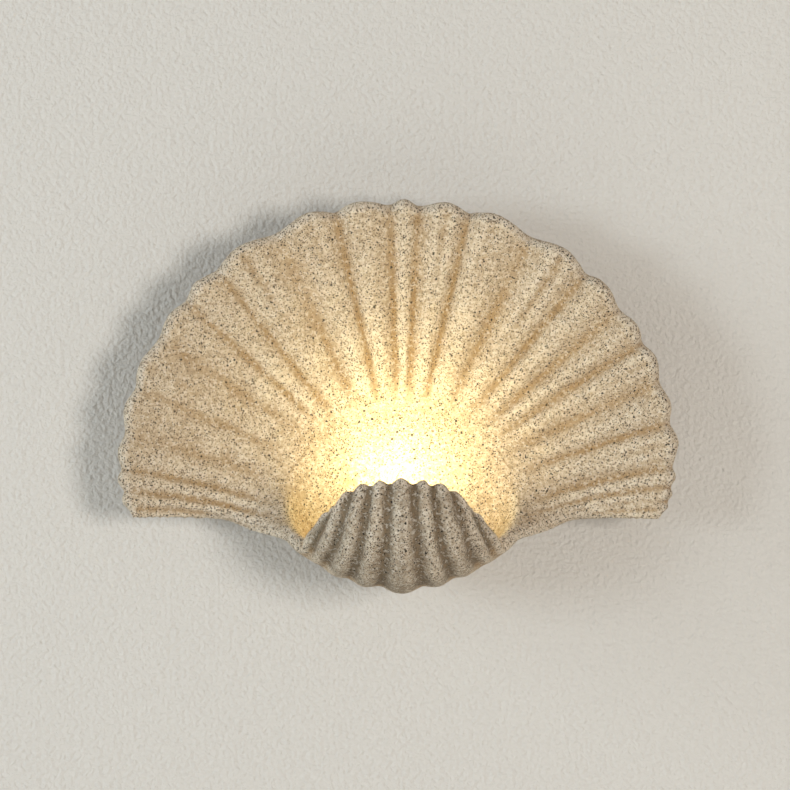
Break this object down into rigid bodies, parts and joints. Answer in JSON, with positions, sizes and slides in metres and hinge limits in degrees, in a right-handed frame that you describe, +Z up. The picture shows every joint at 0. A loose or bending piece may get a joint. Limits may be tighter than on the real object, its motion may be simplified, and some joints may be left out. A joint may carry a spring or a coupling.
{
  "type": "wall sconce",
  "caption": "Wall light cast as a scallop shell: a ribbed fan with a bowl and a ribbed lip that hides an upright capsule bulb; it hangs on a hidden wall bracket.",
  "frame": {"origin": "on the wall, midway between the wall bracket's two fixing slots", "axes": "+X to the viewer's right, +Z up, front faces -Y, the wall is the plane y = 0"},
  "size_m": [0.2986, 0.1196, 0.2084],
  "materials": {
    "cast_stone": "matt, speckled sand colour",
    "zinc_steel": "zinc plated",
    "bright_steel": "bright",
    "brass": "plain",
    "foam": "soft closed-cell foam",
    "rubber": "matt",
    "terminal_plastic": "off-white",
    "ceramic": "unglazed white",
    "brown_sleeve": "insulation",
    "blue_sleeve": "insulation",
    "green_yellow_sleeve": "insulation",
    "board_white": "white board with yellow chips",
    "bulb_frosted": "frosted, lit warm white"
  },
  "bodies": {
    "wall_bracket": {"wall_bracket": "zinc_steel", "hanging_studs": "bright_steel", "earth_washer": "brass", "earth_screw": "brass"},
    "shell": {"shell_body": "cast_stone", "hanging_strip": "zinc_steel", "strip_screws": "bright_steel", "threaded_inserts": "brass", "gasket": "foam", "cable_grommet": "rubber", "terminal_block": "terminal_plastic", "terminal_connectors": "brass", "terminal_screws": "bright_steel", "terminal_block_screws": "bright_steel", "threaded_tube": "brass", "tube_nuts": "brass", "tube_washers": "brass", "lamp_arm": "zinc_steel", "lampholder_base": "ceramic", "lampholder_body": "ceramic", "lampholder_contacts": "bright_steel", "lampholder_screws": "bright_steel", "live_wire": "brown_sleeve", "neutral_wire": "blue_sleeve", "earth_lead": "green_yellow_sleeve", "earth_tag": "brass", "earth_tag_screw": "brass"},
    "bulb": {"bulb_base": "ceramic", "bulb_pins": "bright_steel", "bulb_board": "board_white", "bulb_cover": "bulb_frosted"}
  },
  "joints": [
    {"name": "lift_off", "type": "slide", "parent": "wall_bracket", "child": "shell", "axis": [0, 0, 1], "range_m": [0, 0.009]},
    {"name": "bulb_pull", "type": "slide", "parent": "shell", "child": "bulb", "axis": [0, 0, 1], "range_m": [0, 0.014]}
  ]
}
